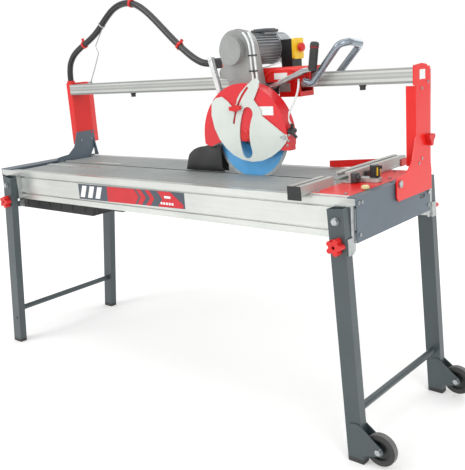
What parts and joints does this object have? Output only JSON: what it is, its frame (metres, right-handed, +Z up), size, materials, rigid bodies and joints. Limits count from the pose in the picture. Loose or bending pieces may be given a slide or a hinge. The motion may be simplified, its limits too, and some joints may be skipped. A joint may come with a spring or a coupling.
{
  "type": "bridge wet tile saw",
  "caption": "Bridge wet tile saw on folding wheeled legs, with a sliding and tilting cutting head, water tray, guard, fence and hose.",
  "frame": {"origin": "centre of the overall bounding box, on the floor under the feet", "axes": "+X along the rail towards the wheeled legs, +Y from the operator's side to the back, +Z up"},
  "size_m": [1.8612, 0.601, 1.4038],
  "materials": {
    "alu": "satin",
    "grey_paint": "satin",
    "leg_paint": "satin",
    "red_paint": "gloss",
    "zinc": "satin",
    "black_plastic": "matte",
    "red_plastic": "gloss",
    "yellow_plastic": "gloss",
    "rubber": "matte",
    "tyre": "matte",
    "cast_alu": "cast",
    "table": "matte",
    "steel": "satin",
    "blade_paint": "satin",
    "light_paint": "satin"
  },
  "bodies": {
    "base": {"front_beam": "alu", "rear_beam": "alu", "left_end_plate": "grey_paint", "right_end_plate": "grey_paint", "front_table": "table", "rear_table": "table", "cross_members": "zinc", "water_tray": "black_plastic", "water_pump": "black_plastic", "leg_brackets": "zinc", "frame_bolts": "zinc", "fence_base": "red_paint"},
    "left_legs": {"left_leg_tubes": "leg_paint", "left_leg_feet": "rubber"},
    "right_legs": {"right_leg_tubes": "leg_paint", "right_leg_feet": "rubber", "wheel_brackets": "leg_paint"},
    "front_wheel": {"front_wheel_tyre": "tyre", "front_wheel_hub": "black_plastic"},
    "rear_wheel": {"rear_wheel_tyre": "tyre", "rear_wheel_hub": "black_plastic"},
    "front_left_lock": {"front_left_leg_knob": "red_plastic"},
    "rear_left_lock": {"rear_left_leg_knob": "red_plastic"},
    "front_right_lock": {"front_right_leg_knob": "red_plastic"},
    "rear_right_lock": {"rear_right_leg_knob": "red_plastic"},
    "bridge": {"right_column": "red_paint", "left_column": "red_paint", "left_support_foot": "grey_paint", "rail": "alu", "hose": "rubber", "hose_clips": "red_plastic", "support_wire": "zinc"},
    "right_clamp": {"right_support_knob": "red_plastic"},
    "left_clamp": {"left_support_knob": "red_plastic"},
    "carriage": {"carriage": "red_paint", "push_handle": "steel"},
    "left_roller": {"left_roller": "steel"},
    "right_roller": {"right_roller": "steel"},
    "head": {"drive_housing": "cast_alu", "drive_belt": "rubber", "motor_body": "cast_alu", "fan_cowl": "cast_alu", "switch_box": "black_plastic", "switch_cover": "yellow_plastic", "blade_guard": "red_plastic", "water_tap": "black_plastic", "splash_flap": "rubber", "handle_arm": "zinc", "handle_grip": "rubber"},
    "arbor": {"arbor_shaft": "steel", "blade_flange": "steel", "blade": "blade_paint"},
    "rotor": {"rotor": "steel"},
    "stop_button": {"stop_button": "red_plastic"},
    "tap_lever": {"tap_lever": "black_plastic"},
    "cover_plate": {"cover_plate": "light_paint"},
    "cover_knob": {"cover_knob": "red_plastic"},
    "fence": {"fence_bar": "alu"},
    "fence_knob": {"fence_knob": "black_plastic"},
    "side_stop": {"side_stop": "alu"}
  },
  "joints": [
    {"name": "left_leg_fold", "type": "hinge", "parent": "base", "child": "left_legs", "pos_m": [-0.80379, -0.0035, 0.705], "axis": [0, -1, 0], "range_deg": [0, 74]},
    {"name": "right_leg_fold", "type": "hinge", "parent": "base", "child": "right_legs", "pos_m": [0.76821, -0.0035, 0.705], "axis": [0, 1, 0], "range_deg": [0, 80]},
    {"name": "front_left_lock_turn", "type": "hinge", "parent": "left_legs", "child": "front_left_lock", "pos_m": [-0.81335, -0.2915, 0.63868], "axis": [0, 1, 0], "range_deg": [0, 360]},
    {"name": "rear_left_lock_turn", "type": "hinge", "parent": "left_legs", "child": "rear_left_lock", "pos_m": [-0.81335, 0.2845, 0.63868], "axis": [0, 1, 0], "range_deg": [0, 360]},
    {"name": "front_right_lock_turn", "type": "hinge", "parent": "right_legs", "child": "front_right_lock", "pos_m": [0.77218, -0.2915, 0.63812], "axis": [0, 1, 0], "range_deg": [0, 360]},
    {"name": "rear_right_lock_turn", "type": "hinge", "parent": "right_legs", "child": "rear_right_lock", "pos_m": [0.77218, 0.2845, 0.63812], "axis": [0, 1, 0], "range_deg": [0, 360]},
    {"name": "front_wheel_spin", "type": "hinge", "parent": "right_legs", "child": "front_wheel", "pos_m": [0.88265, -0.2625, 0.058], "axis": [0, 1, 0], "continuous": true},
    {"name": "rear_wheel_spin", "type": "hinge", "parent": "right_legs", "child": "rear_wheel", "pos_m": [0.88265, 0.2555, 0.058], "axis": [0, 1, 0], "continuous": true},
    {"name": "bridge_tilt", "type": "hinge", "parent": "base", "child": "bridge", "pos_m": [-0.05579, 0.0045, 0.758], "axis": [1, 0, 0], "range_deg": [0, 45]},
    {"name": "right_clamp_turn", "type": "hinge", "parent": "bridge", "child": "right_clamp", "pos_m": [0.82221, 0.1875, 0.866], "axis": [1, 0, 0], "range_deg": [0, 180]},
    {"name": "left_clamp_turn", "type": "hinge", "parent": "bridge", "child": "left_clamp", "pos_m": [-0.85579, 0.1875, 0.866], "axis": [-1, 0, 0], "range_deg": [0, 180]},
    {"name": "carriage_slide", "type": "slide", "parent": "bridge", "child": "carriage", "axis": [1, 0, 0], "range_m": [-0.74, 0.205], "deforming": ["hose", "hose_clips", "support_wire"]},
    {"name": "left_roller_spin", "type": "hinge", "parent": "carriage", "child": "left_roller", "pos_m": [0.28421, 0.1325, 1.0893], "axis": [0, 1, 0], "range_deg": [-6000, 2000]},
    {"name": "right_roller_spin", "type": "hinge", "parent": "carriage", "child": "right_roller", "pos_m": [0.42021, 0.1325, 1.0893], "axis": [0, 1, 0], "range_deg": [-6000, 2000]},
    {"name": "head_plunge", "type": "hinge", "parent": "carriage", "child": "head", "pos_m": [0.14421, 0.0565, 1.096], "axis": [0, -1, 0], "range_deg": [0, 18], "deforming": ["splash_flap"]},
    {"name": "arbor_spin", "type": "hinge", "parent": "head", "child": "arbor", "pos_m": [0.27021, 0.0045, 0.893], "axis": [0, 1, 0], "continuous": true},
    {"name": "rotor_spin", "type": "hinge", "parent": "head", "child": "rotor", "pos_m": [0.20221, 0.0565, 1.168], "axis": [0, 1, 0], "continuous": true},
    {"name": "stop_press", "type": "slide", "parent": "head", "child": "stop_button", "axis": [-1, 0, 0], "range_m": [0, 0.004], "stiffness_N_per_m": 900, "springref_m": -0.001},
    {"name": "tap_turn", "type": "hinge", "parent": "head", "child": "tap_lever", "pos_m": [0.44621, -0.0235, 0.909], "axis": [0, -1, 0], "range_deg": [0, 90]},
    {"name": "cover_swing", "type": "hinge", "parent": "head", "child": "cover_plate", "pos_m": [0.43221, -0.0305, 0.891], "axis": [0, 1, 0], "range_deg": [-10, 12]},
    {"name": "cover_knob_turn", "type": "hinge", "parent": "head", "child": "cover_knob", "pos_m": [0.24421, -0.0375, 0.984], "axis": [0, 1, 0], "range_deg": [0, 180]},
    {"name": "fence_swing", "type": "hinge", "parent": "base", "child": "fence", "pos_m": [0.73421, -0.0035, 0.77], "axis": [0, 0, -1], "range_deg": [-45, 0]},
    {"name": "fence_knob_turn", "type": "hinge", "parent": "base", "child": "fence_knob", "pos_m": [0.73421, -0.0035, 0.79], "axis": [0, 0, 1], "range_deg": [0, 90]},
    {"name": "side_stop_slide", "type": "slide", "parent": "base", "child": "side_stop", "axis": [-1, 0, 0], "range_m": [0, 1.1]}
  ],
  "couplings": [
    {"joint": "left_roller_spin", "follows": "carriage_slide", "rad_per_m": 125},
    {"joint": "right_roller_spin", "follows": "carriage_slide", "rad_per_m": 125},
    {"joint": "rotor_spin", "follows": "arbor_spin", "ratio": 1}
  ]
}
